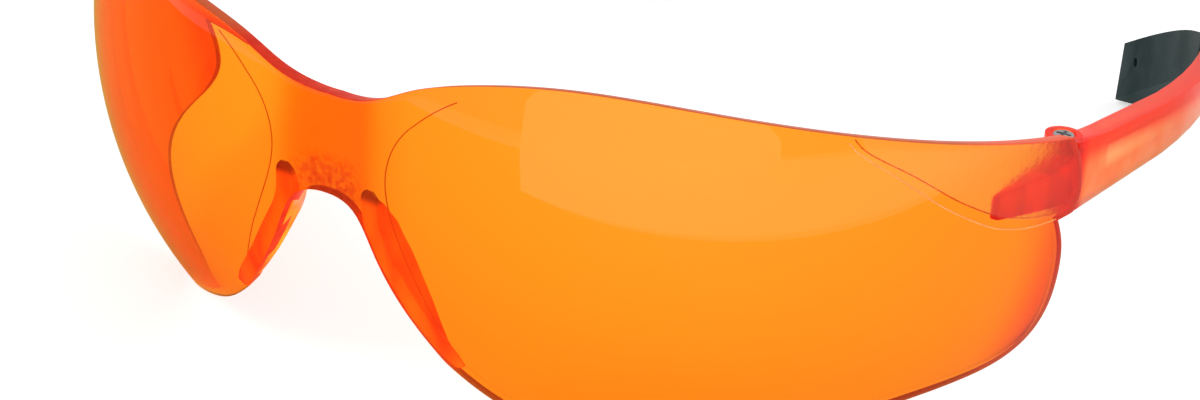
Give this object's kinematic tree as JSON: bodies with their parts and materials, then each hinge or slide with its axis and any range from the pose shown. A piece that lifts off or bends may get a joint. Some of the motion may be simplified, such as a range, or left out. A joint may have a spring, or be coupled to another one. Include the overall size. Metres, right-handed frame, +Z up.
{
  "type": "safety glasses",
  "caption": "Wraparound safety glasses: one-piece curved orange lens with nose flanges, folding side arms on screw hinges and soft rubber tips.",
  "frame": {"origin": "on the surface the glasses stand on, at the centre of their bounding box", "axes": "+X to the wearer's left, towards right_temple_arm, -Y out of the front of the lens, +Y back along the side arms, +Z up"},
  "size_m": [0.15, 0.1614, 0.0493],
  "materials": {
    "tinted_plastic": "polished, tinted and clear",
    "frosted_plastic": "translucent, lightly frosted",
    "grip_rubber": "matte",
    "screw_steel": "plain"
  },
  "bodies": {
    "front": {"lens": "tinted_plastic"},
    "right_temple": {"right_temple_arm": "frosted_plastic", "right_temple_tip": "grip_rubber", "right_hinge_screw": "screw_steel"},
    "left_temple": {"left_temple_arm": "frosted_plastic", "left_temple_tip": "grip_rubber", "left_hinge_screw": "screw_steel"}
  },
  "joints": [
    {"name": "left_temple_fold", "type": "hinge", "parent": "front", "child": "left_temple", "pos_m": [-0.0697, -0.02773, 0.0338], "axis": [0, 0, -1], "range_deg": [0, 90]},
    {"name": "right_temple_fold", "type": "hinge", "parent": "front", "child": "right_temple", "pos_m": [0.0697, -0.02773, 0.0338], "axis": [0, 0, 1], "range_deg": [0, 80]}
  ]
}
